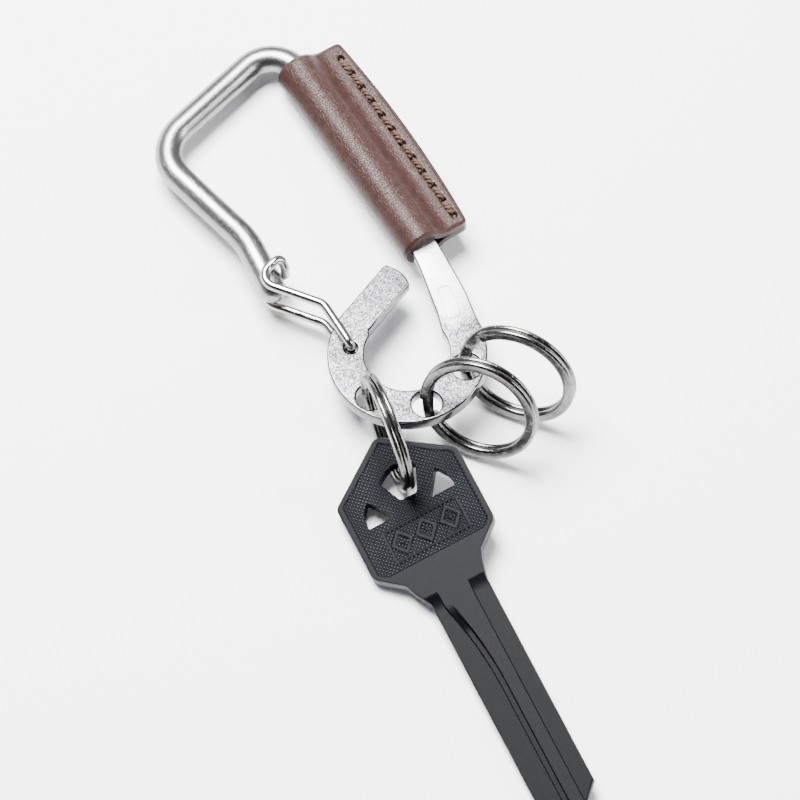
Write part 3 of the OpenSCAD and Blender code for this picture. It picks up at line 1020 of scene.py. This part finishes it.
def make_key():
    left, right, top = key_edges()
    columns = [BLADE_HALF * (2 * k / KEY_COLUMNS - 1) for k in range(KEY_COLUMNS + 1)]
    ys = key_rows(top)
    verts, faces, knurl, place, wear_and_highlight, milled = [], [], [], [], [], []
    n = len(columns)
    for face in (1, -1):
        for y in ys:
            x_left, slope_left = edge_at(left, y)
            x_right, slope_right = edge_at(right, y)
            for c in columns:
                share = (c / BLADE_HALF + 1) / 2
                x = x_left + (x_right - x_left) * share if y > NECK_Y else max(x_left, min(x_right, c))
                to_edge = min(
                    (x - x_left) / math.hypot(1, slope_left),
                    (x_right - x) / math.hypot(1, slope_right))
                if y < TIP_Y + 1:
                    to_edge = min(to_edge, y + KEY_REACH)
                to_edge = min(to_edge, (top - y) * 1.2)
                round_off = KEY_EDGE * (1 - smooth_step(to_edge / KEY_EDGE)) * 0.8
                depth, dots = bow_relief(x, y, to_edge) if y > NECK_Y else (0, 0)
                cut = groove_depth(x, y, face)
                z = KEY_T / 2 - round_off - depth - cut
                verts.append((x, y, face * z))
                knurl.append(dots)
                # share of painted shade in the milled grooves
                milled.append(0.75 * smooth_step(cut / 0.3))
                # edge wear and painted highlight along the rims
                wear_and_highlight.append(1 - smooth_step(to_edge / KEY_EDGE))
                place += [x, y, face * z]
    rows = len(ys)
    for s in (0, 1):
        base = s * rows * n
        for j in range(rows - 1):
            for k in range(n - 1):
                a = base + j * n + k
                q = (a, a + 1, a + n + 1, a + n)
                faces.append(q if s else q[::-1])
    other = rows * n
    for j in range(rows - 1):
        for k in (0, n - 1):
            faces.append((j * n + k, (j + 1) * n + k, other + (j + 1) * n + k, other + j * n + k))
    for j in (0, rows - 1):
        for k in range(n - 1):
            faces.append((j * n + k, j * n + k + 1, other + j * n + k + 1, other + j * n + k))
    mesh = bpy.data.meshes.new("key")
    mesh.from_pydata([Vector(v) for v in verts], [], faces)
    mark(mesh, "knurl", knurl)
    mark(mesh, "edge_wear_and_highlight", wear_and_highlight)
    mark(mesh, "milled", milled)
    layer = mesh.attributes.new("key_place", "FLOAT_VECTOR", "POINT")
    layer.data.foreach_set("vector", place)
    bm = bmesh.new()
    bm.from_mesh(mesh)
    bmesh.ops.remove_doubles(bm, verts=bm.verts, dist=0.004)
    bmesh.ops.recalc_face_normals(bm, faces=bm.faces)
    bm.to_mesh(mesh)
    bm.free()
    cutter = bpy.data.objects.new("cutter", filled_plate(cutout_outlines(), 4 * KEY_T, 0.0, "cutter"))
    blank = bpy.data.objects.new("blank", mesh)
    for o in (cutter, blank):
        bpy.context.scene.collection.objects.link(o)
    cut = blank.modifiers.new("cutouts", "BOOLEAN")
    cut.operation = "DIFFERENCE"
    cut.solver = "EXACT"
    cut.object = cutter
    bpy.context.view_layer.update()
    done = bpy.data.meshes.new_from_object(blank.evaluated_get(bpy.context.evaluated_depsgraph_get()))
    bpy.data.objects.remove(blank)
    bpy.data.objects.remove(cutter)
    turn = (
        Matrix.Rotation(math.radians(KEY_YAW), 4, "Z")
        @ Matrix.Rotation(math.radians(KEY_PITCH), 4, "X")
        @ Matrix.Rotation(math.radians(-KEY_ROLL), 4, "Y"))
    done.materials.clear()
    done.transform(Matrix.Scale(MM, 4) @ Matrix.Translation(KEY_AT) @ turn)
    done.name = "black_key"
    finish_piece("black_key", done, KEY_BLACK, "key", "key_blank")


# ---------------------------------------------------------------- table, light and camera

def make_table():
    m, tree, bsdf = new_material("pale_table", Roughness=0.75)
    n = node(tree, "ShaderNodeTexNoise", Scale=3.0, Detail=2)
    tree.links.new(spot(tree), n.inputs["Vector"])
    pale = [(0.3, (0.93, 0.93, 0.945)), (0.7, (0.955, 0.955, 0.965))]
    tree.links.new(ramp(tree, n.outputs["Fac"], pale), bsdf.inputs["Base Color"])
    mesh = bpy.data.meshes.new("table_top")
    s = TABLE_HALF
    z = TABLE_Z * MM
    mesh.from_pydata([(-s, -s, z), (s, -s, z), (s, s, z), (-s, s, z)], [], [(0, 1, 2, 3)])
    mesh.materials.append(m)
    table = bpy.data.objects.new("table_top", mesh)
    bpy.context.scene.collection.objects.link(table)


def view_axes():
    """Right, up, and back towards the eye, as the camera sees them."""
    a, e = math.radians(VIEW_AZIMUTH), math.radians(VIEW_ELEVATION)
    back = Vector((math.sin(a) * math.cos(e), -math.cos(a) * math.cos(e), math.sin(e)))
    right = Vector((math.cos(a), math.sin(a), 0))
    return right, back.cross(right), back


def from_view(direction):
    """A direction given in the view's own axes, in the part's frame."""
    return sum((axis * k for axis, k in zip(view_axes(), direction)), Vector()).normalized()


def soft_box(name, toward, distance, size, power):
    """An area light that faces the part from a direction."""
    way = from_view(toward)
    light = bpy.data.lights.new(name, "AREA")
    light.shape = "RECTANGLE"
    light.size, light.size_y = size
    light.energy = power
    obj = bpy.data.objects.new(name, light)
    obj.location = way * distance
    obj.rotation_mode = "QUATERNION"
    obj.rotation_quaternion = way.to_track_quat("Z", "Y")
    bpy.context.scene.collection.objects.link(obj)


def make_light():
    """A pale room that is dark on the eye's side, and the soft boxes."""
    world = bpy.data.worlds.new("studio")
    bpy.context.scene.world = world
    world.use_nodes = True
    tree = world.node_tree
    background = tree.nodes["Background"]
    background.inputs["Strength"].default_value = 1.0
    seen = tree.nodes.new("ShaderNodeTexCoord").outputs["Generated"]
    dot = node(tree, "ShaderNodeVectorMath", operation="DOT_PRODUCT")
    tree.links.new(seen, dot.inputs[0])
    dot.inputs[1].default_value = from_view(DARK_SIDE)
    tree.links.new(ramp(tree, dot.outputs["Value"], ROOM_TONES), background.inputs["Color"])
    for box in SOFT_BOXES:
        soft_box(*box)


def make_camera():
    right, up, back = view_axes()
    target = (right * VIEW_CENTRE_ALONG + up * VIEW_CENTRE_UP) * MM
    distance = VIEW_WIDTH * MM * LENS / SENSOR
    data = bpy.data.cameras.new("camera")
    data.lens = LENS
    data.sensor_width = SENSOR
    data.clip_start = NEAREST_SEEN
    data.clip_end = FARTHEST_SEEN
    camera = bpy.data.objects.new("camera", data)
    turned = Matrix((right, up, back)).transposed().to_4x4()
    camera.matrix_world = Matrix.Translation(target + back * distance) @ turned
    bpy.context.scene.collection.objects.link(camera)
    bpy.context.scene.camera = camera


make_camera()
make_rod()
make_hook_plate()
make_cartouche()
make_sleeve()
make_thread()
make_gate()
for ring in range(3):
    make_ring(ring)
make_key()
make_table()
make_light()
